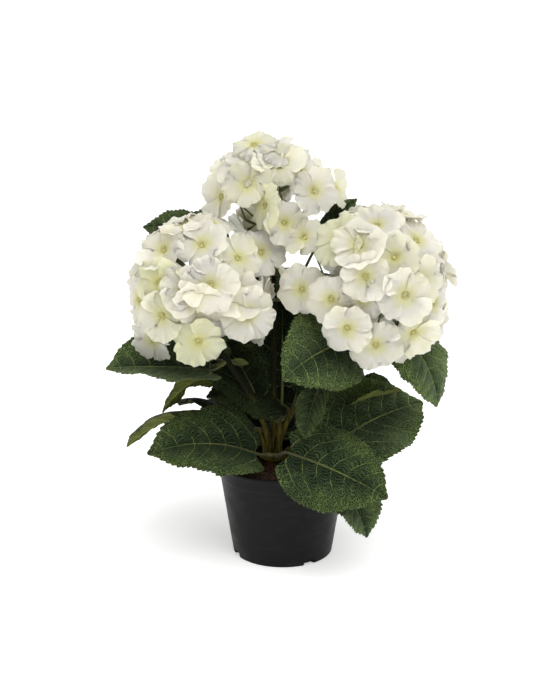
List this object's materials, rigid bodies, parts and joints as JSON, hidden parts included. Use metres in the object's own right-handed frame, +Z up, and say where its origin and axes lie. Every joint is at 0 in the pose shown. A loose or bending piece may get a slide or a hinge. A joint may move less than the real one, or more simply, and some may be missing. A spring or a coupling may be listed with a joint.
{
  "type": "artificial potted hydrangea shrub",
  "caption": "Artificial hydrangea shrub with round white flower heads above broad toothed green leaves, standing in a plain tapered black nursery pot.",
  "frame": {"origin": "centre of the pot's flat underside, on the surface that it stands on", "axes": "+Z up along the pot's axis, -Y towards the viewer's side, where the largest low leaves hang over the rim, and +X to that viewer's right"},
  "size_m": [0.3052, 0.2352, 0.3833],
  "materials": {
    "pot_plastic": "satin",
    "filling": "matte",
    "trunk": "matte",
    "stems": "matte",
    "leaves": "matte",
    "petals": "matte"
  },
  "bodies": {
    "root": {"pot": "pot_plastic", "soil": "filling", "trunk": "trunk", "collar": "stems", "bough_left": "stems", "bough_right": "stems", "bough_top": "stems", "leaves_front_low": "leaves", "leaves_left_low": "leaves", "leaves_right_low": "leaves", "leaves_middle": "leaves", "leaves_back_low": "leaves", "leaves_left": "leaves", "leaves_right": "leaves", "leaves_top": "leaves", "flower_head_left": "petals", "flower_head_right": "petals", "flower_head_top": "petals"}
  },
  "joints": []
}
